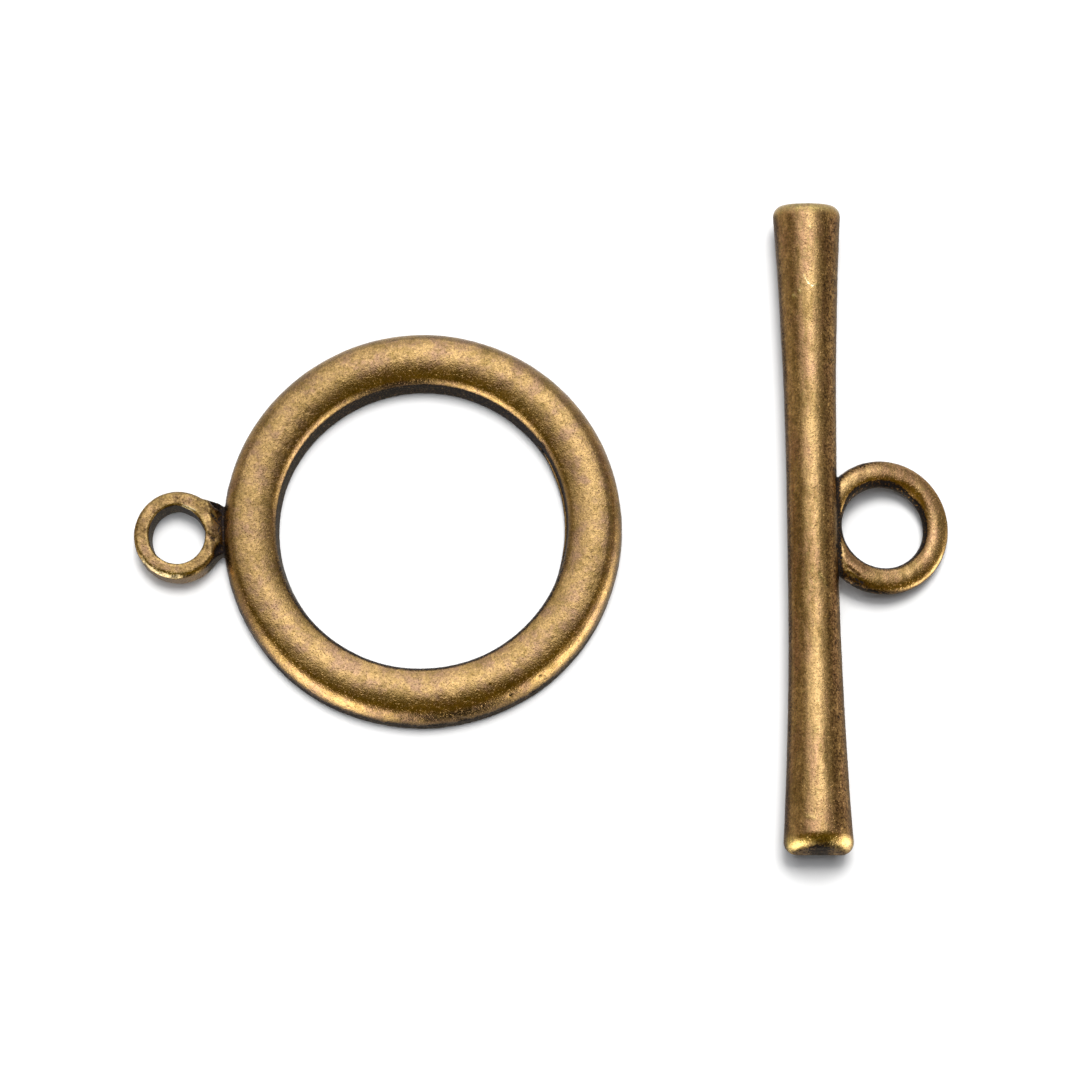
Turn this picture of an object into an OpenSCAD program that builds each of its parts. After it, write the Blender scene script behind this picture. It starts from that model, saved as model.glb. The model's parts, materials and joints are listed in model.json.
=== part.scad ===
// Two-part toggle clasp for a necklace or bracelet, as it lies on a table.
// The ring lies on its flat back, with its small loop to the left.
// The bar lies to the right of it, on its two wide ends and the rim of its loop.
// Millimetres, +Z up, +X to the right, +Y away from the viewer.
// The origin is on the table, under the middle of the two pieces together.

/* [Ring] */
// Outside diameter of the ring
ring_outer_d = 16.2; // [13:0.1:24]
// Width of the ring's band, from its hole to its outside
ring_band_w = 2.2; // [1.4:0.05:3]
// Height of the ring's crown above its flat back
ring_h = 1.5; // [1.2:0.05:2.6]
// Radius of the shallow dome across the band
ring_dome_r = 2.2; // [1.8:0.1:6]
// Rounding of the shoulder next to the hole
ring_inner_round = 0.3; // [0.1:0.02:0.5]
// Rounding of the shoulder at the outside
ring_outer_round = 0.5; // [0.1:0.02:0.6]
// Rounding of the two edges at the flat back
ring_back_round = 0.15; // [0.05:0.01:0.2]

/* [Ring loop] */
// Diameter of the hole in the ring's loop
ring_loop_hole_d = 2.3; // [1.6:0.05:3]
// Width of the metal around that hole
ring_loop_band_w = 0.6; // [0.4:0.01:1]
// Thickness of the loop, above the ring's back
ring_loop_h = 1.2; // [0.8:0.05:1.3]
// Rounding of the loop's outer edges
ring_loop_round = 0.24; // [0.1:0.01:0.3]
// Rounding of the edges of the loop's hole
ring_loop_hole_round = 0.08; // [0.04:0.01:0.1]
// Clear space between the loop's outside and the ring's outside
ring_neck_l = 0.02; // [0.01:0.01:1]
// Width of the neck that joins the loop to the ring
ring_neck_w = 2.6; // [1.2:0.05:2.6]
// Height of the neck above the ring's back
ring_neck_h = 1.05; // [0.6:0.05:1.2]

/* [Bar] */
// Length of the bar
bar_l = 26.8; // [20:0.1:40]
// Diameter of the bar at its widest, close to each end
bar_end_d = 2.76; // [2.4:0.02:4]
// Diameter of the bar's waist
bar_waist_d = 2.04; // [1.6:0.02:2.2]
// Length of the straight stretch in the waist
bar_waist_l = 3.4; // [1:0.1:8]
// Rounding of the rim at each end
bar_end_round = 0.5; // [0.2:0.02:0.8]

/* [Bar loop] */
// Diameter of the hole in the bar's loop
bar_loop_hole_d = 3.4; // [2.4:0.02:5]
// Diameter of the loop's round wire
bar_loop_wire_d = 1.04; // [0.8:0.02:1.4]
// Depth of the narrow flat worn around the inside of the loop's hole
bar_loop_land = 0.02; // [0.01:0.005:0.05]
// Width of the sliver of wire that shows between the waist and the hole
bar_loop_shown = 0.19; // [0.1:0.01:0.6]
// Distance of the loop's middle from the bar's middle, toward the viewer
bar_loop_off = 0.1; // [-1:0.05:1]

/* [Lay] */
// Clear space on the table between the ring and the bar's wide ends
lay_gap = 6.25; // [2:0.05:20]
// Distance of the ring's centre beyond the bar's middle, away from the viewer
lay_ring_ahead = 0; // [-3:0.05:3]
// Turn of the ring, in degrees, seen from above
lay_ring_turn = 2.5; // [-20:0.5:20]
// Turn of the bar, in degrees, seen from above
lay_bar_turn = 0; // [-5:0.5:5]

/* [Hidden] */
$fn = 96;
// Facets of each rounded stretch of an outline
dome_steps = 6;
shoulder_steps = 6;
round_steps = 5;
flare_steps = 18;
end_steps = 8;
// How far one shape runs into the one that it joins
overlap = 0.3;

// Ring
ring_r = ring_outer_d / 2;
ring_hole_r = ring_r - ring_band_w;
ring_mid_r = ring_r - ring_band_w / 2;
dome_z = ring_h - ring_dome_r;

// Ring loop
ring_loop_hole_r = ring_loop_hole_d / 2;
ring_loop_r = ring_loop_hole_r + ring_loop_band_w;
ring_loop_x = -(ring_r + ring_neck_l + ring_loop_r);

// Bar: an arc flares from the waist and meets the rounded rim without a corner
bar_waist_r = bar_waist_d / 2;
bar_end_r = bar_end_d / 2;
rim_r = bar_end_r - bar_end_round;
rim_z = bar_l / 2 - bar_end_round;
flare_rise = rim_r - bar_waist_r;
flare_run = rim_z - bar_waist_l / 2;
flare_r = (flare_rise ^ 2 + flare_run ^ 2 - bar_end_round ^ 2) / (2 * (bar_end_round + flare_rise));
flare_turn = asin(flare_run / (flare_r + bar_end_round));

// Bar loop: its plane holds the bar's axis and leans down until its rim is on the table
bar_loop_wire_r = bar_loop_wire_d / 2;
bar_loop_hole_r = bar_loop_hole_d / 2;
bar_loop_wire_mid_r = bar_loop_hole_r - bar_loop_land + bar_loop_wire_r;
bar_loop_x = bar_waist_r + bar_loop_shown + bar_loop_hole_r;
bar_loop_lean = asin((bar_end_r - bar_loop_wire_r) / (bar_loop_x + bar_loop_wire_mid_r));

// Lay: how far the two pieces reach, so that the origin is under their middle
bar_axis_x = ring_r + lay_gap + bar_end_r;
reach_left = ring_loop_x * cos(lay_ring_turn) - ring_loop_r;
reach_right = bar_axis_x + bar_loop_x * cos(bar_loop_lean) * cos(lay_bar_turn)
    + bar_loop_wire_mid_r * sqrt(cos(bar_loop_lean) ^ 2 * cos(lay_bar_turn) ^ 2 + sin(lay_bar_turn) ^ 2)
    + bar_loop_wire_r + bar_loop_off * sin(lay_bar_turn);
middle_x = (reach_left + reach_right) / 2;

// Points of an arc, from one angle to another
function arc(centre, radius, from, to, steps) = [
    for (i = [0:steps])
        let (a = from + (to - from) * i / steps)
            centre + radius * [cos(a), sin(a)]
];

// How far the dome leans over where it meets a shoulder of this rounding, in degrees
function shoulder_turn(shoulder) = asin((ring_band_w / 2 - shoulder) / (ring_dome_r - shoulder));

// Height of the middle of a shoulder's rounding, which touches both the wall and the dome
function shoulder_z(shoulder) = dome_z + (ring_dome_r - shoulder) * cos(shoulder_turn(shoulder));

// Section of the ring's band: flat back, upright walls, rounded shoulders, shallow dome
function ring_section() = concat(
    arc([ring_hole_r + ring_back_round, ring_back_round], ring_back_round, 180, 270, round_steps),
    arc([ring_r - ring_back_round, ring_back_round], ring_back_round, 270, 360, round_steps),
    arc([ring_r - ring_outer_round, shoulder_z(ring_outer_round)],
        ring_outer_round, 0, 90 - shoulder_turn(ring_outer_round), shoulder_steps),
    [
        for (i = [1:dome_steps - 1])
            let (a = 90 - shoulder_turn(ring_outer_round)
                + (shoulder_turn(ring_outer_round) + shoulder_turn(ring_inner_round)) * i / dome_steps)
                [ring_mid_r, dome_z] + ring_dome_r * [cos(a), sin(a)]
    ],
    arc([ring_hole_r + ring_inner_round, shoulder_z(ring_inner_round)],
        ring_inner_round, 90 + shoulder_turn(ring_inner_round), 180, shoulder_steps)
);

// Section of the loop's metal: square, with rounded edges
function ring_loop_section() = concat(
    arc([ring_loop_hole_r + ring_loop_hole_round, ring_loop_hole_round],
        ring_loop_hole_round, 180, 270, round_steps),
    arc([ring_loop_r - ring_back_round, ring_back_round],
        ring_back_round, 270, 360, round_steps),
    arc([ring_loop_r - ring_loop_round, ring_loop_h - ring_loop_round],
        ring_loop_round, 0, 90, round_steps),
    arc([ring_loop_hole_r + ring_loop_hole_round, ring_loop_h - ring_loop_hole_round],
        ring_loop_hole_round, 90, 180, round_steps)
);

// Upper half of the bar's outline, from the waist to the middle of the end face
function bar_half() = concat(
    arc([bar_waist_r + flare_r, bar_waist_l / 2], flare_r, 180, 180 - flare_turn, flare_steps),
    arc([rim_r, rim_z], bar_end_round, -flare_turn, 90, end_steps),
    [[0, bar_l / 2]]
);

module ring_neck() {
    translate([ring_loop_x, -ring_neck_w / 2, 0])
        cube([ring_loop_r + ring_neck_l + ring_band_w / 2, ring_neck_w, ring_neck_h]);
}

module toggle_ring() {
    color([0.62, 0.50, 0.32])
    translate([-middle_x, lay_ring_ahead, 0])
    rotate([0, 0, lay_ring_turn])
    difference() {
        union() {
            rotate_extrude($fn = 180) polygon(ring_section());
            translate([ring_loop_x, 0, 0]) rotate_extrude() polygon(ring_loop_section());
            ring_neck();
        }
        translate([ring_loop_x, 0, -overlap])
            cylinder(r = ring_loop_hole_r, h = ring_loop_h + 2 * overlap);
    }
}

module bar_shaft() {
    outline = bar_half();
    mirrored = [for (i = [len(outline) - 1:-1:0]) [outline[i].x, -outline[i].y]];
    rotate([90, 0, 0])
        rotate_extrude() polygon(concat(mirrored, outline));
}

module bar_loop_wire() {
    rotate_extrude($fn = 120)
    difference() {
        translate([bar_loop_wire_mid_r, 0]) circle(r = bar_loop_wire_r, $fn = 48);
        translate([0, -bar_loop_wire_r]) square([bar_loop_hole_r, bar_loop_wire_d]);
    }
}

module toggle_bar() {
    color([0.60, 0.44, 0.26])
    translate([bar_axis_x - middle_x, 0, bar_end_r])
    rotate([0, 0, lay_bar_turn])
    rotate([0, bar_loop_lean, 0])
    union() {
        bar_shaft();
        translate([bar_loop_x, -bar_loop_off, 0]) bar_loop_wire();
    }
}

toggle_ring();
toggle_bar();
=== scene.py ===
"""A toggle clasp in antique bronze on a pale table: a ring with a small loop, and a bar with a wire loop.

Each of the two is one casting. Its surface is found from a distance function that joins its parts the way
poured metal does. Waves, pits, nicks and scratches are then pressed into the mesh. The finish reads two
values kept with each vertex: how bright polishing has worn it, which on some edges also paints their
highlights, and how much dark oxide it holds, which on walls, in holes, under the bar and on its flanks also
paints shade. Lengths on the clasp are millimetres in the row frame. The camera, lamps and table are in
metres. Angles are written in degrees.
"""

import json
import logging
import math
from dataclasses import dataclass
from enum import Enum
from typing import Callable

import bpy
import numpy as np
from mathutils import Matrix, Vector


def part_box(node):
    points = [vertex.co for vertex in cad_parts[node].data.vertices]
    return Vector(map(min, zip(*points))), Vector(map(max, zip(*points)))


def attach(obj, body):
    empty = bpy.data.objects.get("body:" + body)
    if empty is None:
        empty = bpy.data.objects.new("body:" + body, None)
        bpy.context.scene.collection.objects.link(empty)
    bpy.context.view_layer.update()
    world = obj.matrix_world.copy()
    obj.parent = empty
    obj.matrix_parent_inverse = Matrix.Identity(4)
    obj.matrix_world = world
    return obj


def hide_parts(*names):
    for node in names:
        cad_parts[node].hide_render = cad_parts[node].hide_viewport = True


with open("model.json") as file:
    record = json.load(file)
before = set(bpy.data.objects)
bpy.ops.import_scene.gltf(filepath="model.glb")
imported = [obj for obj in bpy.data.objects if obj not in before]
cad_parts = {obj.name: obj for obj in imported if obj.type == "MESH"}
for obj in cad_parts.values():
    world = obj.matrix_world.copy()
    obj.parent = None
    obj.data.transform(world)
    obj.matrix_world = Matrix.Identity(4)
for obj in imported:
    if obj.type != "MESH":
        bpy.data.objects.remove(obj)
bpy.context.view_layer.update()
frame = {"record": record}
mounts = {mount["name"]: mount for mount in frame["record"]["mounts"]}

MM = 0.001
WINDOW_CORE = 0.4  # share of a window's reach within which it is fully open
PEAK_CORE = 0.3  # the same for a peak in a finish or in the surround
Array = np.ndarray
Pair = tuple[float, float]
Triple = tuple[float, float, float]
Colour = Triple
Socket = bpy.types.NodeSocket
Distance = Callable[[Array], Array]
log = logging.getLogger("toggle_clasp")


class Kept(Enum):
    """Names of the values that each vertex keeps for the finish."""

    # Polished wear, and painted highlights on the ring loop's bevel and on the bar's end rims.
    RUBBED_AND_HIGHLIGHT = "rubbed_and_highlight"
    # Real oxide, and painted shade on walls, in holes, under the bar and on its flanks.
    PATINA_AND_SHADE = "patina_and_shade"


def rounded_cut(first: Array, second: Array, radius: float) -> Array:
    """Distance to the metal that two shapes share, with an edge of that radius where they meet."""
    outer = np.hypot(np.maximum(first + radius, 0), np.maximum(second + radius, 0)) - radius
    return outer + np.minimum(np.maximum(first, second) + radius, 0)


def fillet_join(first: Array, second: Array, size: float) -> Array:
    """Distance to two shapes poured together, with a fillet that blends over that width."""
    share = np.clip(0.5 + 0.5 * (second - first) / size, 0, 1)
    return second * (1 - share) + first * share - size * share * (1 - share)


def fade(values: Array, start: float, end: float) -> Array:
    """Smooth step from 0 at start to 1 at end; start may be the larger."""
    share = np.clip((values - start) / (end - start), 0, 1)
    return share * share * (3 - 2 * share)


class LatticeNoise:
    """Smooth noise from random values at the points of a lattice, the same in every run."""

    cells = 48

    def __init__(self, seed: int) -> None:
        """Draws the lattice.

        Args:
            seed: Start of the random draw.
        """
        draw = np.random.default_rng(seed)
        self.values = draw.uniform(-1, 1, (self.cells,) * 3)
        self.spots = draw.uniform(0, 1, (self.cells, self.cells, self.cells, 4))

    def waves(self, points: Array, size: float) -> Array:
        """Noise whose bumps are about one size wide.

        Args:
            points: Places, in millimetres.
            size: Width of a lattice cell.

        Returns:
            Values from -1 to 1.
        """
        scaled = points / size
        cell = np.floor(scaled).astype(int)
        part = scaled - cell
        part = part * part * (3 - 2 * part)
        total = np.zeros(len(points))
        for corner in np.ndindex(2, 2, 2):
            near = (cell + corner) % self.cells
            weight = np.prod(np.where(corner, part, 1 - part), axis=1)
            total += weight * self.values[near[:, 0], near[:, 1], near[:, 2]]
        return total

    def rough(self, points: Array, size: float, layers: int) -> Array:
        """Layers of waves, each half as wide and half as strong as the one before.

        Args:
            points: Places, in millimetres.
            size: Width of the widest layer's cells.
            layers: Number of layers.

        Returns:
            Values from about -1 to 1.
        """
        total = np.zeros(len(points))
        for layer in range(layers):
            total += self.waves(points + 7.3 * layer, size / 2**layer) / 2**layer
        return total / (2 - 2 ** (1 - layers))

    def pits(self, points: Array, spacing: float, radius: float, share: float) -> Array:
        """Round spots at random places.

        Args:
            points: Places, in millimetres.
            spacing: Width of the cells that may hold one spot each.
            radius: Radius of the widest spot, up to half a cell.
            share: Share of the cells that hold a spot.

        Returns:
            Depth from 0 outside the spots to 1 at the middle of one.
        """
        scaled = points / spacing
        home = np.floor(scaled).astype(int)
        deepest = np.zeros(len(points))
        for step in np.ndindex(3, 3, 3):
            cell = home + np.array(step) - 1
            spot = self.spots[tuple((cell % self.cells).T)]
            away = np.linalg.norm(points - (cell + spot[:, :3]) * spacing, axis=1)
            reach = radius * (0.4 + 0.6 * spot[:, 3] / share)
            depth = np.where(spot[:, 3] < share, 1 - (away / reach) ** 2, 0)
            deepest = np.maximum(deepest, depth)
        return deepest


@dataclass(frozen=True)
class Mark:
    """A straight mark on the upper side: a scratch, nick or gouge, or with a negative depth a burr."""

    start: Pair
    end: Pair
    width: float
    depth: float = 0.0
    shine: float = 0.0
    stain_and_shade: float = 0.0

    def share(self, points: Array) -> Array:
        """How strongly the mark shows at each point.

        Args:
            points: Places on the surface.

        Returns:
            Shares from 0 away from the mark to 1 along its middle.
        """
        start = np.array(self.start)
        run = np.array(self.end) - start
        length_sq = max(float(run @ run), 1e-9)
        along = np.clip((points[:, :2] - start) @ run / length_sq, 0, 1)
        away = np.linalg.norm(points[:, :2] - start - along[:, None] * run, axis=1)
        return np.exp(-((away / self.width) ** 2))


def window(turn: Array, middle: float, reach: float) -> Array:
    """Stretch of a circle with soft ends: 1 at its middle, 0 from its reach on, for turns in radians."""
    off = np.abs(np.angle(np.exp(1j * (turn - math.radians(middle)))))
    return fade(off, math.radians(reach), math.radians(reach * WINDOW_CORE))


class SurfaceNet:
    """The mesh of quads that lies where a distance function is zero."""

    def __init__(self, distance: Distance, low: Array, high: Array, pitch: float) -> None:
        """Finds one vertex in each lattice cell that the surface passes through.

        Args:
            distance: Distance function, negative inside the metal.
            low: Lowest corner of the space to search.
            high: Highest corner of it.
            pitch: Width of a lattice cell.
        """
        self.distance = distance
        self.pitch = pitch
        counts = np.ceil((high - low) / pitch).astype(int) + 1
        steps = [low[axis] + pitch * np.arange(counts[axis]) for axis in range(3)]
        inside = np.empty(counts, bool)
        across = np.stack(np.meshgrid(steps[1], steps[2], indexing="ij"), -1).reshape(-1, 2)
        for row, x in enumerate(steps[0]):
            slab = np.column_stack([np.full(len(across), x), across])
            inside[row] = (distance(slab) < 0).reshape(counts[1:])
        self.points, self.quads = self._cells(inside, low)

    def _cells(self, inside: Array, low: Array) -> tuple[Array, Array]:
        """Makes the vertices and quads.

        Args:
            inside: Whether each lattice point is in the metal.
            low: Lowest corner of the lattice.

        Returns:
            Vertex places and the four vertices of each quad.
        """
        filled = np.zeros(np.array(inside.shape) - 1, int)
        for corner in np.ndindex(2, 2, 2):
            part = tuple(slice(c, n - 1 + c) for c, n in zip(corner, inside.shape))
            filled += inside[part]
        mixed = (filled > 0) & (filled < 8)
        number = np.full(mixed.shape, -1)
        number[mixed] = np.arange(mixed.sum())
        points = low + (np.argwhere(mixed) + 0.5) * self.pitch
        quads = []
        for axis in range(3):
            side, up = (axis + 1) % 3, (axis + 2) % 3
            before = np.moveaxis(inside, axis, 0)[:-1]
            after = np.moveaxis(inside, axis, 0)[1:]
            crossed = np.moveaxis(before != after, 0, axis)
            leaving = np.moveaxis(before & ~after, 0, axis)
            edges = np.argwhere(crossed)
            inner = (edges[:, side] > 0) & (edges[:, up] > 0)
            inner &= edges[:, side] < mixed.shape[side]
            inner &= edges[:, up] < mixed.shape[up]
            edges = edges[inner]
            around = []
            for back_side, back_up in ((1, 1), (0, 1), (0, 0), (1, 0)):
                cell = edges.copy()
                cell[:, side] -= back_side
                cell[:, up] -= back_up
                around.append(number[tuple(cell.T)])
            quad = np.column_stack(around)
            outward = leaving[tuple(edges.T)]
            quads.append(np.where(outward[:, None], quad, quad[:, ::-1]))
        return points, np.concatenate(quads)

    def slope(self, points: Array) -> Array:
        """Direction in which the distance grows fastest, not yet of unit length.

        Args:
            points: Places to measure at.

        Returns:
            One vector for each place.
        """
        reach = 0.02 * self.pitch
        parts = []
        for axis in range(3):
            step = np.zeros(3)
            step[axis] = reach
            parts.append(self.distance(points + step) - self.distance(points - step))
        return np.column_stack(parts) / (2 * reach)

    def settle(self, steps: int) -> None:
        """Moves every vertex onto the surface.

        Args:
            steps: Number of moves.
        """
        for _ in range(steps):
            slope = self.slope(self.points)
            size_sq = np.maximum((slope**2).sum(1), 0.05)
            move = np.clip(self.distance(self.points) / size_sq, -self.pitch, self.pitch)
            self.points = self.points - move[:, None] * slope

    def neighbour_mean(self, values: Array) -> Array:
        """Mean of each vertex's neighbours along the edges.

        Args:
            values: One row for each vertex.

        Returns:
            The means, one row for each vertex.
        """
        start = self.quads.ravel()
        end = np.roll(self.quads, -1, axis=1).ravel()
        one, other = np.concatenate([start, end]), np.concatenate([end, start])
        count = np.bincount(one, minlength=len(values))
        columns = [np.bincount(one, column[other], minlength=len(values)) for column in values.T]
        return np.column_stack(columns) / count[:, None]

    def relax(self, rounds: int) -> None:
        """Evens out the quads without leaving the surface.

        Args:
            rounds: Number of rounds.
        """
        for _ in range(rounds):
            self.points = self.points + 0.6 * (self.neighbour_mean(self.points) - self.points)
            self.settle(1)

    def normals(self) -> Array:
        """Unit vectors that point out of the metal, one for each vertex."""
        slope = self.slope(self.points)
        return slope / np.maximum(np.linalg.norm(slope, axis=1), 1e-9)[:, None]

    def hollowness(self, rounds: int) -> Array:
        """How far the surface is hollow, positive, or proud, negative, against its surroundings.

        Args:
            rounds: Rounds of smoothing that set how wide the surroundings are.

        Returns:
            Heights in millimetres, one for each vertex.
        """
        smooth = self.points
        for _ in range(rounds):
            smooth = 0.5 * smooth + 0.5 * self.neighbour_mean(smooth)
        return ((smooth - self.points) * self.normals()).sum(1)


@dataclass(frozen=True)
class Skin:
    """Clean surface of a casting, unit vectors out of it, and how hollow it is, or below 0 how proud."""

    points: Array
    normals: Array
    hollow: Array


@dataclass
class Casting:
    """What the two castings share: how a distance function becomes a dressed piece.

    Long waves, short roughness and round pits roughen the clean surface.
    """

    seed: int = 0
    pitch: float = 0.056
    clear: float = 0.2
    settle_steps: int = 4
    relax_rounds: int = 3
    hollow_rounds: int = 10
    wave_size: float = 2.0
    wave_h: float = 0.010
    rough_size: float = 0.38
    rough_h: float = 0.008
    rough_layers: int = 3
    stretch: Triple = (1.0, 1.0, 1.0)
    pit_spacing: float = 0.46
    pit_r: float = 0.1
    pit_share: float = 0.4
    pit_depth: float = 0.016
    marks: tuple[Mark, ...] = ()

    def corners(self) -> tuple[Array, Array]:
        """Lowest and highest corner of the casting."""
        raise NotImplementedError

    def distance(self, points: Array) -> Array:
        """Distance to the clean casting, negative inside."""
        raise NotImplementedError

    def coarseness(self, points: Array, normals: Array) -> Array:
        """How many times as coarse as the smoothest part each place is."""
        raise NotImplementedError

    def patina_and_shade(self, skin: Skin) -> Array:
        """How much dark oxide and painted shade each vertex holds, from 0 to 1."""
        raise NotImplementedError

    def rubbed_and_highlight(self, skin: Skin) -> Array:
        """How bright each vertex is worn or lit by a painted highlight, from 0 to 1."""
        raise NotImplementedError

    def relief(self, points: Array, normals: Array) -> Array:
        """Height of the cast and tumbled surface above the clean casting.

        Args:
            points: Places on the clean surface.
            normals: Unit vectors out of the metal.

        Returns:
            Heights in millimetres.
        """
        coarse = self.coarseness(points, normals)
        rough = self.noise.rough(points * np.array(self.stretch), self.rough_size, self.rough_layers)
        pits = self.noise.pits(points, self.pit_spacing, self.pit_r, self.pit_share)
        height = self.wave_h * self.noise.waves(points, self.wave_size)
        return height + self.rough_h * coarse * rough - self.pit_depth * coarse * pits

    def build(self, name: str) -> bpy.types.Object:
        """Makes the casting's mesh, in metres, with the values for the finish.

        Args:
            name: Name of the piece.

        Returns:
            The new object.
        """
        low, high = self.corners()
        net = SurfaceNet(self.distance, low - self.clear, high + self.clear, self.pitch)
        net.settle(self.settle_steps)
        net.relax(self.relax_rounds)
        net.settle(1)
        clean = net.points
        normals = net.normals()
        upper = fade(normals[:, 2], 0.05, 0.3)
        depth, shine, stain_and_shade = np.zeros((3, len(clean)))
        for mark in self.marks:
            share = mark.share(clean) * upper
            depth += mark.depth * share
            shine += mark.shine * share
            stain_and_shade += mark.stain_and_shade * share
        net.points = clean + (self.relief(clean, normals) - depth)[:, None] * normals
        net.points[:, 2] = np.maximum(net.points[:, 2], 0)
        skin = Skin(clean, normals, net.hollowness(self.hollow_rounds))
        mesh = bpy.data.meshes.new(name)
        mesh.from_pydata((net.points * MM).tolist(), [], net.quads.tolist())
        mesh.shade_smooth()
        kept = {Kept.RUBBED_AND_HIGHLIGHT: self.rubbed_and_highlight(skin) + shine, Kept.PATINA_AND_SHADE: self.patina_and_shade(skin) + stain_and_shade}
        for key, values in kept.items():
            layer = mesh.attributes.new(key.value, "FLOAT", "POINT")
            layer.data.foreach_set("value", np.clip(values, 0, 1).astype(np.float32))
        piece = bpy.data.objects.new(name, mesh)
        bpy.context.scene.collection.objects.link(piece)
        return piece


@dataclass
class ToggleRing(Casting):
    """The ring, with the small washer-like loop that its chain is tied to."""

    seed: int = 11
    pitch: float = 0.065
    hollow_rounds: int = 8
    wave_size: float = 2.2
    rough_size: float = 0.4
    pit_spacing: float = 0.5
    pit_r: float = 0.11
    pit_share: float = 0.35
    centre: Pair = (0.0, 0.0)
    hole_r: float = 5.9
    outer_r: float = 8.05
    crown: float = 1.5
    loop_centre: Pair = (-10.0, 0.0)
    loop_hole_r: float = 1.15
    loop_outer_r: float = 1.75
    dome_r: float = 2.2
    inner_round: float = 0.22
    outer_round: float = 0.5
    back_round: float = 0.06
    wall_h: float = 1.1
    draft: float = 0.07
    foot: float = 0.07
    near_shift: float = 0.1
    flash: float = 0.07
    flash_h: float = 0.34
    loop_h: float = 1.2
    loop_oval: float = 0.05
    loop_round: float = 0.2
    loop_hole_round: float = 0.07
    loop_hole_trim: float = 0.01
    loop_hole_oval: float = 0.035
    loop_hole_flat: float = 0.06
    loop_hole_draft: float = 0.03
    loop_bevel: float = 0.12
    bevel_out: float = 0.78
    bevel_up: float = 0.62
    bevel_round: float = 0.03
    neck_half_w: float = 1.577
    neck_start: float = 0.7
    neck_taper: float = 0.5
    neck_shift: float = 0.26
    neck_drop: float = 0.16
    neck_lean: float = 0.91
    neck_fillet: float = 0.1
    web_stain: float = 0.2
    face_stain: float = 0.24
    seam_stain: float = 0.3
    ring_hole_shade: float = 0.95
    near_outer_wall_shade: float = 0.22
    rubbed_limit: float = 0.7

    @classmethod
    def from_frame(cls) -> "ToggleRing":
        """Takes the ring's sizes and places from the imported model.

        Returns:
            The ring.
        """
        low, high = (np.array(corner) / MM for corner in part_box("toggle_ring"))
        opening, loop_hole = mounts["ring_opening"], mounts["ring_loop_hole"]
        centre = np.array(opening["pos_m"][:2]) / MM
        loop_centre = np.array(loop_hole["pos_m"][:2]) / MM
        return cls(
            centre=tuple(centre),
            hole_r=opening["dims"]["r_mm"],
            outer_r=(high[1] - low[1]) / 2,
            crown=high[2],
            loop_centre=tuple(loop_centre),
            loop_hole_r=loop_hole["dims"]["r_mm"],
            loop_outer_r=loop_centre[0] - low[0],
            marks=RING_MARKS,
        )

    def __post_init__(self) -> None:
        """Works out the ring's own directions and draws its noise."""
        out = np.array(self.loop_centre) - np.array(self.centre)
        self.loop_away = float(np.hypot(*out))
        self.toward = -out / self.loop_away
        self.middle_r = (self.hole_r + self.outer_r) / 2
        self.noise = LatticeNoise(self.seed)

    def own(self, points: Array) -> Array:
        """Turns places in the row frame into the ring's own: origin at its centre, loop on its -X side.

        Args:
            points: Places in the row frame.

        Returns:
            Places in the ring's frame.
        """
        flat = points[:, :2] - np.array(self.centre)
        along = flat @ self.toward
        across = flat @ np.array([-self.toward[1], self.toward[0]])
        return np.column_stack([along, across, points[:, 2]])

    def corners(self) -> tuple[Array, Array]:
        """Lowest and highest corner of the ring and its loop."""
        centre = np.array(self.centre)
        loop = np.array(self.loop_centre)
        low = np.minimum(centre - self.outer_r, loop - self.loop_outer_r)
        high = np.maximum(centre + self.outer_r, loop + self.loop_outer_r)
        return np.append(low, 0.0), np.append(high, self.crown)

    def band(self, own: Array) -> Array:
        """The ring's band: flat back, upright walls, rounded shoulders and a shallow dome.

        Args:
            own: Places in the ring's frame.

        Returns:
            Distances to the band.
        """
        away = np.hypot(own[:, 0], own[:, 1])
        height = own[:, 2]
        turn = np.arctan2(own[:, 1], own[:, 0])
        near = window(turn, -90, 75)
        crest = self.middle_r - self.near_shift * near
        dome = np.hypot(away - crest, height - (self.crown - self.dome_r)) - self.dome_r
        foot = self.foot * (1 - np.clip(height, 0, self.wall_h) / self.wall_h)
        outer_r = self.outer_r - self.draft * height + foot * near
        outside = rounded_cut(away - outer_r, dome, self.outer_round)
        hole_r = self.hole_r + self.draft * (height - self.wall_h) - foot * window(turn, 90, 75)
        fin = window(turn, 4, 34) * fade(np.abs(height - self.flash_h), 0.16, 0.05)
        inside = rounded_cut(hole_r - self.flash * fin - away, dome, self.inner_round)
        return rounded_cut(np.maximum(outside, inside), -height, self.back_round)

    def around_loop(self, own: Array) -> tuple[Array, Array]:
        """Distance of each place from the middle of the loop's hole, and direction in radians."""
        x, y = own[:, 0] + self.loop_away, own[:, 1]
        return np.hypot(x, y), np.arctan2(y, x)

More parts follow.
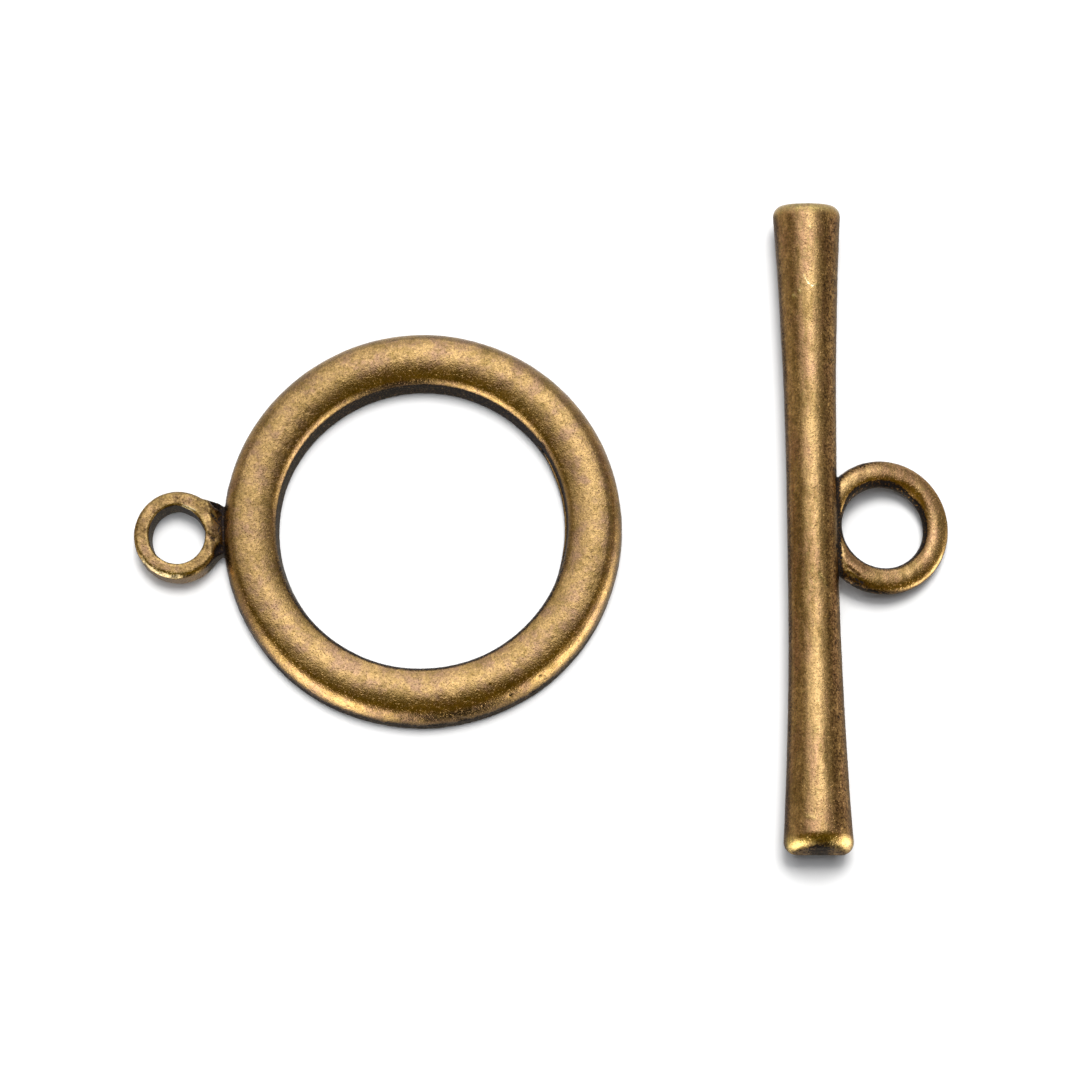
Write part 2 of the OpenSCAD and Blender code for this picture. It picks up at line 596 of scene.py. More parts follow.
    def eye(self, own: Array) -> Array:
        """The washer-like loop and the level web that joins it to the ring, without the hole.

        The loop's near left edge is worn to an uneven bevel. The web narrows and sinks toward the ring.

        Args:
            own: Places in the ring's frame.

        Returns:
            Distances to the loop and web.
        """
        away, turn = self.around_loop(own)
        x = own[:, 0] + self.loop_away
        past = np.maximum(x - self.neck_start, 0)
        off_middle = np.abs(own[:, 1] - self.neck_shift * fade(x, 0.8, 1.8))
        web = (off_middle - self.neck_half_w + self.neck_taper * past) * self.neck_lean
        web = np.maximum(web, np.maximum(self.neck_start - x, x - (self.loop_away - self.middle_r)))
        disc = away - self.loop_outer_r - self.loop_oval * np.sin(turn) ** 2
        side = fillet_join(disc, web, self.neck_fillet)
        top = own[:, 2] - self.loop_h + self.neck_drop * fade(x, 1.3, 1.8)
        worn = self.loop_bevel * window(turn, -112, 66) * (1 + 0.3 * self.noise.waves(own, 0.3))
        bevel = self.bevel_out * disc + self.bevel_up * top + worn
        edge = rounded_cut(rounded_cut(side, top, self.loop_round), bevel, self.bevel_round)
        return rounded_cut(edge, -own[:, 2], self.back_round)

    def loop_hole(self, own: Array) -> Array:
        """The loop's hole: a little oval, and flatter toward the ring's far side.

        Args:
            own: Places in the ring's frame.

        Returns:
            Distances to the hole's space.
        """
        away, turn = self.around_loop(own)
        oval = self.loop_hole_oval * np.cos(2 * (turn - math.radians(97)))
        radius = self.loop_hole_r - self.loop_hole_trim + oval
        radius -= self.loop_hole_flat * window(turn, 48, 45) - self.loop_hole_draft * own[:, 2] / self.loop_h
        return away - radius

    def distance(self, points: Array) -> Array:
        """Distance to the clean ring with its loop.

        Args:
            points: Places in the row frame.

        Returns:
            Distances, negative inside the metal.
        """
        own = self.own(points)
        whole = fillet_join(self.eye(own), self.band(own), self.neck_fillet)
        return rounded_cut(whole, -self.loop_hole(own), self.loop_hole_round)

    def coarseness(self, points: Array, normals: Array) -> Array:
        """The near flank and the web are the roughest.

        Args:
            points: Places on the clean surface.
            normals: Unit vectors out of the metal.

        Returns:
            Factors from 1 up.
        """
        own = self.own(points)
        near = window(np.arctan2(own[:, 1], own[:, 0]), -80, 50) * fade(normals[:, 1], -0.15, -0.4)
        return 1 + near + 1.6 * fade(np.abs(own[:, 0] + self.outer_r + 0.1), 0.8, 0.4)

    def patina_and_shade(self, skin: Skin) -> Array:
        """Patina stays in the hollows and on the web. The darkening in the holes, on the walls and on the
        near edge of the ring's hole is partly oxide and partly painted shade.

        Args:
            skin: The surface.

        Returns:
            Shares from 0 to 1.
        """
        own = self.own(skin.points)
        away, _ = self.around_loop(own)
        past_hole = own[:, 0] + self.loop_away
        from_centre = np.hypot(own[:, 0], own[:, 1])
        side = np.arctan2(own[:, 1], own[:, 0])
        outside = fade(from_centre, self.outer_r - 0.08, self.outer_r + 0.08)
        blotches = self.noise.rough(skin.points, 0.3, 2)
        web = fade(past_hole, 0.9, 1.8) * outside * (self.web_stain + 0.4 * blotches)
        face = outside * (self.face_stain + 0.36 * blotches)
        seam = self.seam_stain * fade(np.abs(from_centre - self.outer_r - 0.03), 0.14, 0.03)
        seam *= fade(-own[:, 0], 7.0, 7.4) * (own[:, 2] < 1.25)
        # Walls in the holes, the near outer wall, the walls under the web and the near edge of the ring's
        # hole are darkened as painted shade, over some real oxide.
        wall = fade(skin.normals[:, 2], 0.42, 0.12)
        loop_hole_shade = wall * fade(away, self.loop_hole_r + 0.25, self.loop_hole_r + 0.1)
        near_edge_shade = fade(skin.normals[:, 2], 0.8, 0.62) * window(side, -90, 110)
        inner = self.ring_hole_shade * np.maximum(wall, near_edge_shade) * (from_centre < self.middle_r)
        outer = self.near_outer_wall_shade * wall * window(side, -90, 32) * fade(own[:, 2], 0.8, 0.4)
        under_web_shade = fade(skin.normals[:, 2], 0.6, 0.2) * outside * fade(past_hole, 0.9, 1.5)
        dull = 0.05 * (1 - window(side, -95, 75)) + 0.11 * window(side, 160, 65)
        walls = loop_hole_shade + inner + outer + under_web_shade
        return fade(skin.hollow, 0.003, 0.02) + web + face + seam + walls + dull * (1 - outside)

    def rubbed_and_highlight(self, skin: Skin) -> Array:
        """Polishing shows on the shoulders, on the loop's bevel and on the far right edge of its hole. The
        bevel may go past the limit toward bare metal, which paints the highlight it catches.

        Args:
            skin: The surface.

        Returns:
            Shares from 0 to 1.
        """
        own = self.own(skin.points)
        away, turn = self.around_loop(own)
        edge = fade(-skin.hollow, 0.005, 0.022) * fade(skin.normals[:, 2], 0.2, 0.4)
        burr = fade(np.abs(away - self.loop_hole_r - 0.05), 0.12, 0.04) * window(turn, 50, 45)
        bevel = fade(away, self.loop_outer_r - 0.2, self.loop_outer_r - 0.12) * window(turn, -116, 50)
        on_loop = (burr + bevel * fade(skin.normals[:, 2], 0.15, 0.35)) * fade(skin.points[:, 2], 0.8, 1.0)
        # Past the limit the worn bevel turns toward bare metal: a painted highlight on real wear.
        return np.minimum(edge + on_loop, self.rubbed_limit + 0.15 * bevel)


@dataclass
class ToggleBar(Casting):
    """The waisted bar, with the round wire loop at its middle."""

    seed: int = 23
    stretch: Triple = (1.0, 0.6, 1.0)
    axis_x: float = 0.0
    axis_z: float = 1.38
    half_l: float = 13.4
    end_r: float = 1.38
    waist_r: float = 1.02
    waist_half_l: float = 1.7
    end_round: float = 0.5
    loop_centre: Triple = (3.0, 0.0, 0.9)
    loop_axis: Triple = (0.0, 0.0, 1.0)
    loop_hole_r: float = 1.72
    wire_r: float = 0.52
    wire_flat: float = 0.12
    wire_oval: float = 0.06
    wire_round: float = 0.22
    facet_cut: float = 0.1
    facet_round: float = 0.1
    loop_fillet: float = 0.1
    end_draft: float = 12.0
    far_round: float = 0.52
    near_round: float = 0.54
    under_shade: float = 0.7
    end_stain_and_shade: float = 0.6
    dark_reflection_level: float = 0.5
    loop_flank_shade: float = 0.66
    right_flank_shade: float = 0.54
    left_flank_shade: float = 0.28
    left_edge_shade: float = 0.3
    blotch_stain: float = 0.08
    rubbed_limit: float = 0.7

    @classmethod
    def from_frame(cls) -> "ToggleBar":
        """Takes the bar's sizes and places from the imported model.

        Returns:
            The bar.
        """
        low, high = (np.array(corner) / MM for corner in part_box("toggle_bar"))
        hole = mounts["bar_loop_hole"]
        centre = np.array(hole["pos_m"]) / MM
        hole_r = hole["dims"]["r_mm"]
        level = hole["axis"][2]
        end_r = high[2] / 2
        return cls(
            axis_x=low[0] + end_r,
            axis_z=end_r,
            half_l=(high[1] - low[1]) / 2,
            end_r=end_r,
            loop_centre=tuple(centre),
            loop_axis=tuple(hole["axis"]),
            loop_hole_r=hole_r,
            wire_r=(high[0] - centre[0] - hole_r * level) / (1 + level),
            marks=BAR_MARKS,
        )

    def __post_init__(self) -> None:
        """Works out the flare's arc and draws the bar's noise."""
        rise = self.end_r - self.end_round - self.waist_r
        run = self.half_l - self.end_round - self.waist_half_l
        self.flare_r = (rise**2 + run**2 - self.end_round**2) / (2 * (self.end_round + rise))
        self.noise = LatticeNoise(self.seed)

    def corners(self) -> tuple[Array, Array]:
        """Lowest and highest corner of the bar and its loop."""
        right = self.loop_centre[0] + self.loop_hole_r + 2 * self.wire_r
        low = np.array([self.axis_x - self.end_r, -self.half_l, 0.0])
        return low, np.array([right, self.half_l, self.axis_z + self.end_r])

    def shaft(self, points: Array) -> Array:
        """The round bar, which flares from its waist to its ends.

        Args:
            points: Places in the row frame.

        Returns:
            Distances to the shaft.
        """
        across, up = points[:, 0] - self.axis_x, points[:, 2] - self.axis_z
        past_waist = np.clip(np.abs(points[:, 1]) - self.waist_half_l, 0, self.half_l)
        radius = self.waist_r + self.flare_r - np.sqrt(self.flare_r**2 - past_waist**2)
        lean = math.radians(self.end_draft)
        end = (np.abs(points[:, 1]) - self.half_l) * math.cos(lean) + np.abs(up) * math.sin(lean)
        around = np.hypot(across, up) - radius
        far = rounded_cut(around, end, self.far_round)
        return np.where(points[:, 1] > 0, far, rounded_cut(around, end, self.near_round))

    def loop(self, points: Array) -> Array:
        """The loop of wire, flattened on top, with one more flat worn inside its far right part.

        Args:
            points: Places in the row frame.

        Returns:
            Distances to the wire.
        """
        own = points - np.array(self.loop_centre)
        axis = np.array(self.loop_axis)
        height = own @ axis
        outward = own @ np.array([axis[2], 0.0, -axis[0]])
        turn = np.arctan2(own[:, 1], outward)
        past = np.hypot(own[:, 1], outward) - (self.loop_hole_r + self.wire_r)
        thick = self.wire_r * (1 + self.wire_oval * np.sin(turn) ** 2)
        flat = height - thick * (1 - self.wire_flat)
        wire = rounded_cut(np.hypot(past, height) - thick, flat, self.wire_round)
        facet = (height - past) * math.sqrt(0.5) - thick * (1 - self.facet_cut * window(turn, 45, 32))
        return rounded_cut(wire, facet, self.facet_round)

    def distance(self, points: Array) -> Array:
        """Distance to the clean bar with its loop."""
        return fillet_join(self.shaft(points), self.loop(points), self.loop_fillet)

    def coarseness(self, points: Array, normals: Array) -> Array:
        """The near end face is the roughest."""
        return 1 + 1.5 * fade(normals[:, 1], -0.8, -0.95)

    def patina_and_shade(self, skin: Skin) -> Array:
        """Patina stays in the hollows, along the loop's joint and on the near end. The near end's darkening
        is partly painted shade; that of the under side, the loop's inner and outer flanks and the bar's side
        flanks is painted shade, and the dark middle of the near end's rim is a painted reflection.

        Args:
            skin: The surface.

        Returns:
            Shares from 0 to 1.
        """
        points, normals = skin.points, skin.normals
        # Painted shade: surfaces that face down are darkened.
        under = self.under_shade * fade(normals[:, 2], 0.2, -0.15)
        flecks = fade(self.noise.waves(points, 0.14), 0.3, 0.6)
        # The near end face is darkened: oxide with light flecks, and painted shade where it faces the front.
        end = fade(normals[:, 1], -0.75, -0.95) * (self.end_stain_and_shade - 0.36 * flecks)
        beside = points[:, 0] - self.axis_x
        # Painted dark reflection: the middle of the near end's rim is darkened.
        dark_reflection = self.dark_reflection_level * fade(np.abs(beside), 0.6, 0.1)
        dark_reflection *= fade(-points[:, 1], self.half_l - 0.75, self.half_l - 0.3)
        own = points - np.array(self.loop_centre)
        from_middle = np.hypot(own[:, 0], own[:, 1])
        turn = np.arctan2(own[:, 1], own[:, 0])
        on_loop = fade(beside, self.waist_r - 0.05, self.waist_r + 0.1) * fade(np.abs(own[:, 1]), 3.3, 3.0)
        # Painted shade, over some oxide: the loop's inward faces are darkened.
        inward = -(normals[:, :2] * own[:, :2]).sum(1) / np.maximum(from_middle, 1e-6)
        edge = 0.7 - 0.26 * window(turn, 105, 60) - 0.15 * window(turn, 0, 55)
        hole = fade(inward, edge, edge + 0.1) * on_loop
        # Painted shade: the loop's outer flanks are darkened, mostly at its left beside the bar.
        past_wire = (from_middle - self.loop_hole_r) / self.wire_r
        outer_side = window(turn, 130, 60) + window(turn, -137, 58) + 0.1 * window(turn, 30, 60)
        flank = self.loop_flank_shade * fade(past_wire, 1.3, 1.7) * outer_side * on_loop
        at_loop = fade(np.abs(own[:, 1]), 2.3, 1.9)
        groove = fade(np.abs(beside - self.waist_r - 0.02), 0.15, 0.05) * at_loop
        groove *= fade(points[:, 2], 1.9, 1.5)
        blotches = self.blotch_stain * on_loop * fade(self.noise.rough(points, 0.35, 2), -0.1, 0.5)
        away = fade(np.abs(points[:, 1]), self.half_l - 0.5, self.half_l - 1.0) * (1 - on_loop)
        # Painted shade on the bar's right flank, its left flank and the left flank's steepest strip; the
        # mottle added to it is real.
        mottle = 0.14 * self.noise.rough(points, 0.3, 3)
        mottle -= 0.4 * fade(self.noise.rough(points, 0.13, 2), 0.1, 0.6)
        right = (self.right_flank_shade + mottle) * fade(normals[:, 0], 0.3, 0.5)
        left = (self.left_flank_shade + mottle) * fade(-normals[:, 0], 0.28, 0.55)
        left += self.left_edge_shade * fade(-normals[:, 0], 0.86, 0.95)
        sides_mottle_and_shade = (right + left) * away * fade(normals[:, 2], 0.0, 0.2)
        worn = fade(skin.hollow, 0.003, 0.02)
        return worn + under + end + dark_reflection + hole + flank + groove + blotches + sides_mottle_and_shade

    def rubbed_and_highlight(self, skin: Skin) -> Array:
        """Polishing shows on the rims of the ends where they face up, less at the far end's sides; that
        shaping also paints the ends' highlights.

        Args:
            skin: The surface.

        Returns:
            Shares from 0 to 1.
        """
        # Wear on the end rims, shaped by which way they face: partly a painted highlight.
        rim_wear_and_highlight = fade(np.abs(skin.points[:, 1]), self.half_l - 0.8, self.half_l - 0.35)
        rim_wear_and_highlight *= fade(skin.normals[:, 2], 0.1, 0.4)
        rim_wear_and_highlight *= 1 - 0.6 * fade(np.abs(skin.normals[:, 0]), 0.35, 0.6) * (skin.points[:, 1] > 0)
        edges = fade(-skin.hollow, 0.006, 0.03) * fade(skin.points[:, 2], 0.3, 0.9)
        return np.minimum(edges + rim_wear_and_highlight, self.rubbed_limit)


@dataclass(frozen=True)
class BronzeFinish:
    """Antique bronze plate: brass worn bright through a mottled brown oxide, with a fine tumbled grain.

    A streak below 1 draws the mottling out along Y.
    """

    metal: Colour
    rose: Colour
    olive: Colour
    brown: Colour
    black: Colour
    bright: Colour
    bare_and_highlight: Colour
    streak: float
    grain: float
    rough: float = 0.20
    rough_range: float = 0.2
    dull_specular: float = 0.06

    def material(self, name: str) -> bpy.types.Material:
        """Makes the material.

        Args:
            name: Name of the material.

        Returns:
            The material, to be put on a casting.
        """
        material = bpy.data.materials.new(name)
        material.use_nodes = True
        tree = NodeBoard(material.node_tree)
        shader = material.node_tree.nodes["Principled BSDF"]
        place = tree.place("Object")
        even = tree.scaled(place, (1 / MM, 1 / MM, 1 / MM))
        along = tree.scaled(place, (1 / MM, self.streak / MM, 1 / MM))
        patches = tree.noise(along, 0.8, 4, 0.6)
        tint = tree.noise(along, 1.3, 5, 0.65)
        mottle = tree.noise(along, 4.0, 4, 0.7)
        specks = tree.noise(even, 7, 3, 0.6)
        grain = tree.noise(even, 13, 2, 0.6)
        fine = tree.noise(even, 24, 2, 0.5)
        patina_and_shade = tree.attribute(Kept.PATINA_AND_SHADE)
        rubbed_and_highlight = tree.attribute(Kept.RUBBED_AND_HIGHLIGHT)
        stain_and_shade = tree.math("MULTIPLY", patina_and_shade, tree.mapped(grain, 0.36, 0.64, 1.3, 0.62))
        # Brown and black follow the kept darkening, which holds real oxide and painted shade; bright and the
        # bare layer follow the kept polish, which holds wear and painted highlights.
        colour = tree.layered(
            self.metal,
            (tree.ramp(tint, 0.45, 0.60), self.rose),
            (tree.mapped(tree.mean(patches, mottle), 0.47, 0.62, 0.0, 0.85), self.olive),
            (tree.math("MULTIPLY", rubbed_and_highlight, tree.ramp(mottle, 0.3, 0.55)), self.bright),
            (tree.mapped(specks, 0.57, 0.70, 0.0, 0.3), self.brown),
            (tree.mapped(specks, 0.42, 0.32, 0.0, 0.35), self.bright),
            (tree.ramp(rubbed_and_highlight, 0.72, 1.0), self.bare_and_highlight),
            (tree.ramp(stain_and_shade, 0.0, 0.7), self.brown),
            (tree.ramp(stain_and_shade, 0.6, 0.8), self.black),
        )
        level = tree.mapped(tree.mean(grain, specks), 0.4, 0.6, 0.74, 1.26)
        dulled = tree.mean(mottle, grain, patina_and_shade)
        nubs = tree.mapped(tree.noise(even, 14, 1, 0.5), 0.60, 0.76, 0.0, 0.4)
        bumps = tree.math("ADD", tree.mean(grain, fine, specks), nubs)
        depth = self.grain * MM
        inputs = {
            "Base Color": tree.shaded(colour, level),
            "Metallic": tree.mapped(stain_and_shade, 0.6, 0.85, 1.0, 0.0),
            "Specular IOR Level": self.dull_specular,
            "Roughness": tree.mapped(dulled, 0.2, 0.8, self.rough, self.rough + self.rough_range),
            "Normal": tree.put("ShaderNodeBump", "Normal", {"Height": bumps, "Distance": depth}),
        }
        for socket, source in inputs.items():
            tree.feed(source, shader.inputs[socket])
        return material


class NodeBoard:
    """Short calls that lay out the nodes of a finish or of the surround."""

    def __init__(self, tree: bpy.types.NodeTree) -> None:
        """Keeps the node tree to add to."""
        self.tree = tree

    def feed(self, source: object, target: Socket) -> None:
        """Feeds a socket with another socket, a number or a colour.

        Args:
            source: Output socket, number, or three parts of a colour or vector.
            target: Input socket.
        """
        if isinstance(source, bpy.types.NodeSocket):
            self.tree.links.new(source, target)
        elif isinstance(source, tuple) and target.type == "RGBA":
            target.default_value = (*source, 1.0)
        else:
            target.default_value = source

    def put(self, kind: str, output: int | str, inputs: dict, **settings: object) -> Socket:
        """Adds a node.

        Args:
            kind: Kind of node.
            output: Number or name of the output that is wanted.
            inputs: What feeds each input, by its number or name.
            **settings: Values of the node's own properties.

        Returns:
            The output.
        """
        node = self.tree.nodes.new(kind)
        for name, value in settings.items():
            setattr(node, name, value)
        for name, source in inputs.items():
            self.feed(source, node.inputs[name])
        return node.outputs[output]

    def attribute(self, kept: Kept) -> Socket:
        """Value kept with each vertex."""
        return self.put("ShaderNodeAttribute", "Fac", {}, attribute_name=kept.value)

    def place(self, output: str) -> Socket:
        """Coordinates of that kind."""
        return self.put("ShaderNodeTexCoord", output, {})

    def scaled(self, place: Socket, scale: Triple) -> Socket:
        """Coordinates multiplied along each axis."""
        return self.put("ShaderNodeVectorMath", "Vector", {0: place, 1: scale}, operation="MULTIPLY")

    def noise(self, place: Socket, scale: float, detail: float, rough: float) -> Socket:
        """Noise from 0 to 1, with its bumps to a millimetre, finer layers and strength of those."""
        inputs = {"Vector": place, "Scale": scale, "Detail": detail, "Roughness": rough}
        return self.put("ShaderNodeTexNoise", "Fac", inputs)

    def math(self, kind: str, *values: object) -> Socket:
        """Arithmetic on one value, or on more of them from the left.

        Args:
            kind: Kind of arithmetic.
            *values: Sockets or numbers.

        Returns:
            The result.
        """
        total = values[0]
        for value in values[1:] or (0.0,):
            total = self.put("ShaderNodeMath", 0, {0: total, 1: value}, operation=kind)
        return total

    def mean(self, *values: Socket) -> Socket:
        """Mean of some values."""
        return self.math("DIVIDE", self.math("ADD", *values), float(len(values)))

    def mapped(self, value: Socket, low: float, high: float, to_low: float, to_high: float) -> Socket:
        """Maps the range from low to high onto another, and no further."""
        ends = {"From Min": low, "From Max": high, "To Min": to_low, "To Max": to_high}
        return self.put("ShaderNodeMapRange", "Result", {"Value": value, **ends})

    def ramp(self, value: Socket, low: float, high: float) -> Socket:
        """Goes from 0 at low to 1 at high."""
        return self.mapped(value, low, high, 0.0, 1.0)

    def peak(self, value: Socket, middle: float, reach: float) -> Socket:
        """Rises to 1 around the middle and falls to 0 at its reach to either side."""
        off = self.math("ABSOLUTE", self.math("SUBTRACT", value, middle))
        return self.ramp(off, reach, reach * PEAK_CORE)

    def angle(self, up: Socket, along: Socket) -> Socket:
        """Direction of a pair of coordinates, in degrees."""
        return self.math("DEGREES", self.math("ARCTAN2", up, along))

    def shaded(self, colour: Socket, level: Socket) -> Socket:
        """Colour multiplied by a level."""
        return self.put("ShaderNodeVectorMath", "Vector", {0: colour, "Scale": level}, operation="SCALE")

    def layered(self, colour: object, *layers: tuple[Socket, object]) -> Socket:
        """Colour with others laid over it.

        Args:
            colour: Lowest colour.
            *layers: Share and colour of each layer, from the lowest up.

        Returns:
            The colour that shows.
        """
        for share, paint in layers:
            colour = self.put("ShaderNodeMix", 2, {0: share, 6: colour, 7: paint}, data_type="RGBA")
        return colour


@dataclass(frozen=True)
class Lamp:
    """A square soft light that looks at the clasp, leaning away from straight overhead by two angles."""

    lean_back: float
    lean_right: float
    away: float
    size: float
    power: float
    colour: Colour

    def build(self, name: str) -> None:
        """Hangs the lamp. It lights the table and casts shadows, and isn't mirrored in the metal.

        Args:
            name: Name of the lamp.
        """
        data = bpy.data.lights.new(name, "AREA")
        data.size = self.size
        data.energy = self.power
        data.color = self.colour
        lamp = bpy.data.objects.new(name, data)
        back, right = math.radians(self.lean_back), math.radians(self.lean_right)
        out = Vector((math.sin(right), math.sin(back), 1.0)).normalized()
        lamp.location = out * self.away
        lamp.rotation_euler = out.to_track_quat("Z", "Y").to_euler()
        lamp.visible_glossy = False
        bpy.context.scene.collection.objects.link(lamp)


@dataclass
class Studio:
    """The pale table, the soft light round it and the camera.

    The surround's colours are named for where they lie: a soft box overhead and behind, walls, a low band
    with two bright cards, and the floor that upright metal mirrors.
    """

    elevation: float = 77.4
    camera_away: float = 0.125
    lens: float = 103.19
    target: Triple = (-0.071e-3, -0.58e-3, 0.8e-3)
    clip: Pair = (0.01, 10.0)
    table_size: float = 4.0
    table_gap: float = 0.02e-3
    table_colour: Colour = (0.8, 0.8, 0.8)
    table_rough: float = 0.9
    soft_box: Colour = (2.8, 2.8, 2.84)
    back_left: Colour = (0.36, 0.31, 0.22)
    back_right: Colour = (0.34, 0.31, 0.26)
    front: Colour = (0.17, 0.128, 0.010)
    glow: Colour = (1.6, 1.3, 0.8)
    low_front: Colour = (0.05, 0.045, 0.03)
    low: Colour = (0.56, 0.49, 0.38)
    low_back: Colour = (0.6, 0.6, 0.6)
    card: Colour = (3.6, 3.4, 2.9)
    floor: Colour = (0.46, 0.41, 0.34)
    floor_left: Colour = (0.2, 0.2, 0.22)
    floor_right: Colour = (0.36, 0.33, 0.28)
    floor_back: Colour = (0.85, 0.84, 0.82)

    def build_camera(self) -> None:
        """Places the camera and makes it the scene's own."""
        camera = bpy.data.objects.new("camera", bpy.data.cameras.new("camera"))
        up = math.radians(self.elevation)
        back = Vector((0.0, -math.cos(up), math.sin(up)))
        camera.location = Vector(self.target) + back * self.camera_away
        camera.rotation_euler = back.to_track_quat("Z", "Y").to_euler()
        camera.data.lens = self.lens
        camera.data.clip_start, camera.data.clip_end = self.clip
        bpy.context.scene.collection.objects.link(camera)
        bpy.context.scene.camera = camera

    def build_table(self) -> None:
        """Lays the table top just under the clasp."""
        half = self.table_size / 2
        square = ((-half, -half), (half, -half), (half, half), (-half, half))
        corners = [(x, y, -self.table_gap) for x, y in square]
        mesh = bpy.data.meshes.new("table")
        mesh.from_pydata(corners, [], [(0, 1, 2, 3)])
        table = bpy.data.objects.new("table", mesh)
        material = bpy.data.materials.new("table_white")
        material.use_nodes = True
        shader = material.node_tree.nodes["Principled BSDF"]
        shader.inputs["Base Color"].default_value = (*self.table_colour, 1.0)
        shader.inputs["Roughness"].default_value = self.table_rough
        shader.inputs["Specular IOR Level"].default_value = 0.0
        mesh.materials.append(material)
        table.visible_glossy = False
        bpy.context.scene.collection.objects.link(table)

    def build_surround(self) -> None:
        """Makes the light from all round, which the metal mirrors and the table doesn't take."""
        world = bpy.data.worlds.new("studio")
        world.use_nodes = True
        bpy.context.scene.world = world
        board = NodeBoard(world.node_tree)
        background = world.node_tree.nodes["Background"]
        direction = board.place("Generated")
        x, y, z = (board.put("ShaderNodeSeparateXYZ", axis, {0: direction}) for axis in "XYZ")
        sideways = board.math("DEGREES", board.math("ARCSINE", x))
        behind = board.angle(y, z)
        around = board.angle(y, x)
        left_parts = board.mapped(sideways, -53, 0, 0.0, 0.8), board.mapped(sideways, -8, 6, 0.0, 0.2)
        left = board.math("ADD", *left_parts)
        right = board.ramp(sideways, 31, 7)
        near = board.ramp(behind, -3, 14)
        bump = board.math("MULTIPLY", board.peak(behind, 70, 14), 0.25)
        far = board.math("ADD", board.mapped(behind, 24, 48, 1.0, 0.35), bump)
        box = board.math("MULTIPLY", left, right, near, far, board.ramp(behind, 90, 80))
        cards = board.math("ADD", board.peak(around, -27, 38), board.peak(around, -127, 33))
        back = board.layered(self.back_left, (board.ramp(x, -0.2, 0.4), self.back_right))
        low = board.layered(
            self.low_front,
            (board.ramp(y, -0.75, -0.35), self.low),
            (board.ramp(y, 0.5, 0.9), self.low_back),
            (cards, self.card),
        )
        floor = board.layered(
            self.floor,
            (board.ramp(x, -0.05, -0.35), self.floor_left),
            (board.ramp(x, 0.1, 0.5), self.floor_right),
            (board.ramp(y, 0.25, 0.5), self.floor_back),
        )
        colour = board.layered(
            self.front,
            (board.ramp(y, -0.1, 0.25), back),
            (board.math("MULTIPLY", cards, board.ramp(z, 0.6, 0.3), 0.3), self.glow),
            (board.ramp(z, 0.24, 0.04), low),
            (board.ramp(z, -0.45, -0.75), floor),
            (box, self.soft_box),
        )
        board.feed(colour, background.inputs["Color"])
        world.cycles_visibility.diffuse = False

    def build_lamps(self) -> None:
        """Hangs the lamps that whiten the table."""
        lamps = {
            "overhead_lamp": Lamp(28, 0, 0.9, 1.0, 8.6, (0.97, 0.98, 1.0)),
            "back_lamp": Lamp(20, 3, 0.9, 0.3, 6.2, (1.0, 0.985, 0.96)),
            "front_lamp": Lamp(-12, 0, 0.9, 0.4, 1.3, (0.95, 0.97, 1.0)),
        }
        for name, lamp in lamps.items():
            lamp.build(name)


RING_FINISH = BronzeFinish(
    metal=(0.53, 0.345, 0.146),
    rose=(0.395, 0.245, 0.142),
    olive=(0.29, 0.19, 0.06),
    brown=(0.105, 0.062, 0.025),
    black=(0.012, 0.009, 0.009),
    bright=(0.65, 0.465, 0.18),
    bare_and_highlight=(0.95, 0.86, 0.62),
    streak=1.0,
    grain=0.018,
)
BAR_FINISH = BronzeFinish(
    metal=(0.62, 0.405, 0.178),
    rose=(0.52, 0.31, 0.165),
    olive=(0.27, 0.17, 0.055),
    brown=(0.11, 0.055, 0.018),
    black=(0.012, 0.009, 0.008),
    bright=(0.72, 0.56, 0.21),
    bare_and_highlight=(0.97, 0.84, 0.62),
    streak=0.3,
    grain=0.015,
)

RING_MARKS = (
    Mark((-14.50, 0.76), (-14.00, 0.55), 0.05, depth=-0.02, shine=0.3),
    # The next five marks are nicks on the web next to the ring; the stain of those at its top and bottom
    # corners is oxide and also paints part of the shade there.
    Mark((-13.24, 1.02), (-13.12, 0.88), 0.11, depth=0.26, stain_and_shade=0.6),
    Mark((-12.98, 0.95), (-12.92, 0.75), 0.12, depth=0.18, stain_and_shade=0.6),
    Mark((-13.05, -1.14), (-12.95, -0.95), 0.12, depth=0.12, stain_and_shade=1.0),
    Mark((-13.30, 0.40), (-13.05, 0.10), 0.10, depth=0.05, stain_and_shade=0.2),
    Mark((-13.42, -0.45), (-13.20, -0.62), 0.08, depth=0.04, stain_and_shade=0.5),
    Mark((-0.10, 3.36), (0.02, 3.22), 0.08, depth=0.08, stain_and_shade=0.9),
    Mark((-3.4, -7.85), (-2.9, -7.9), 0.06, depth=0.03, stain_and_shade=0.3),
    Mark((-1.2, -7.7), (-0.7, -7.45), 0.06, depth=0.03, stain_and_shade=0.3),
    Mark((-3.0, -7.35), (-2.9, -7.2), 0.05, depth=0.02, shine=0.7),
)
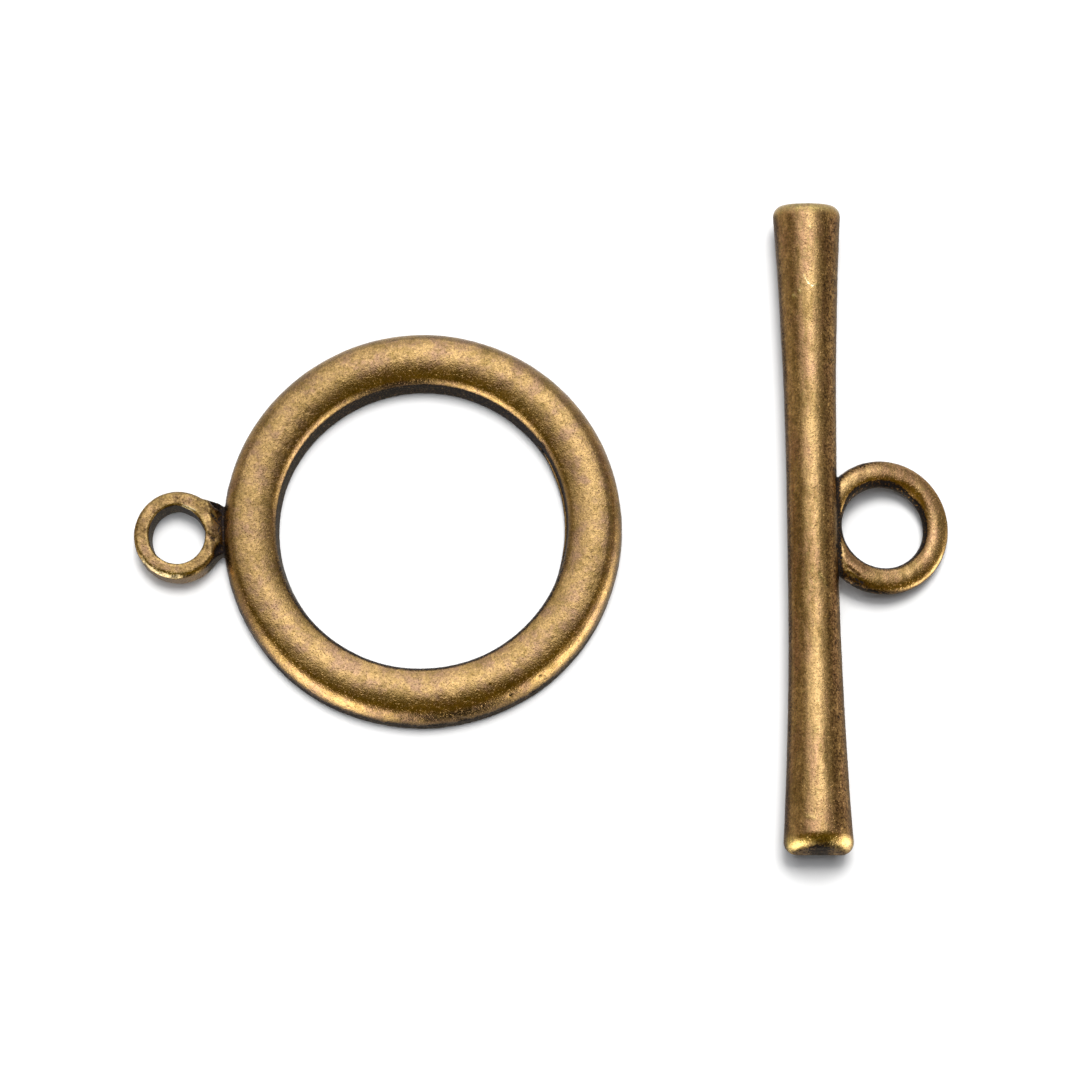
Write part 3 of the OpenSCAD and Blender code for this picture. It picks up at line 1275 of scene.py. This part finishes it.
BAR_MARKS = (
    Mark((10.61, 10.06), (10.80, 9.71), 0.05, depth=-0.005, shine=1.0),
    Mark((10.80, 9.71), (10.96, 9.59), 0.05, depth=-0.005, shine=1.0),
    Mark((10.96, 9.59), (11.21, 9.68), 0.05, depth=-0.005, shine=0.9),
    Mark((10.21, 9.28), (10.24, 9.20), 0.07, depth=-0.01, shine=0.9),
    Mark((10.44, 9.45), (10.46, 9.38), 0.06, depth=-0.01, shine=0.9),
    Mark((10.88, 12.08), (10.92, 12.04), 0.06, depth=-0.01, shine=0.9),
    Mark((10.35, -12.0), (10.58, -12.08), 0.09, depth=-0.01, shine=0.7),
    Mark((11.06, -2.30), (11.34, -2.77), 0.05, depth=0.02, shine=0.8),
    Mark((11.80, -1.00), (12.20, -1.95), 0.05, depth=0.03, shine=0.8),
    Mark((11.95, -0.80), (12.05, -1.30), 0.05, depth=0.03, shine=0.7),
    Mark((12.25, -2.05), (12.85, -2.45), 0.05, depth=0.03, shine=0.7),
    Mark((12.30, -1.85), (12.70, -2.20), 0.06, depth=0.03, stain_and_shade=0.6),
    Mark((11.88, 2.1), (11.96, 1.98), 0.07, depth=0.03, stain_and_shade=0.5),
    Mark((11.9, -2.32), (12.0, -2.2), 0.09, depth=0.05, stain_and_shade=0.5),
)


def dress(piece: bpy.types.Object, finish: BronzeFinish, slot: str, node: str) -> None:
    """Gives a casting its finish and ties it to the frame.

    Args:
        piece: The casting.
        finish: Its finish.
        slot: The record's material slot.
        node: The solid that it stands for.
    """
    piece.data.materials.append(finish.material(slot))
    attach(piece, "root")
    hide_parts(node)
    log.info("%s: %d vertices, %d quads", piece.name, len(piece.data.vertices), len(piece.data.polygons))


def main() -> None:
    """Builds the two castings, the table, the light and the camera."""
    logging.basicConfig(level=logging.INFO, format="%(name)s: %(message)s")
    studio = Studio()
    studio.build_camera()
    studio.build_table()
    studio.build_surround()
    studio.build_lamps()
    bpy.context.scene.view_settings.view_transform = "Standard"
    ring, bar = ToggleRing.from_frame(), ToggleBar.from_frame()
    dress(ring.build("cast_ring"), RING_FINISH, "ring_bronze", "toggle_ring")
    dress(bar.build("cast_bar"), BAR_FINISH, "bar_bronze", "toggle_bar")


if __name__ == "__main__":
    main()
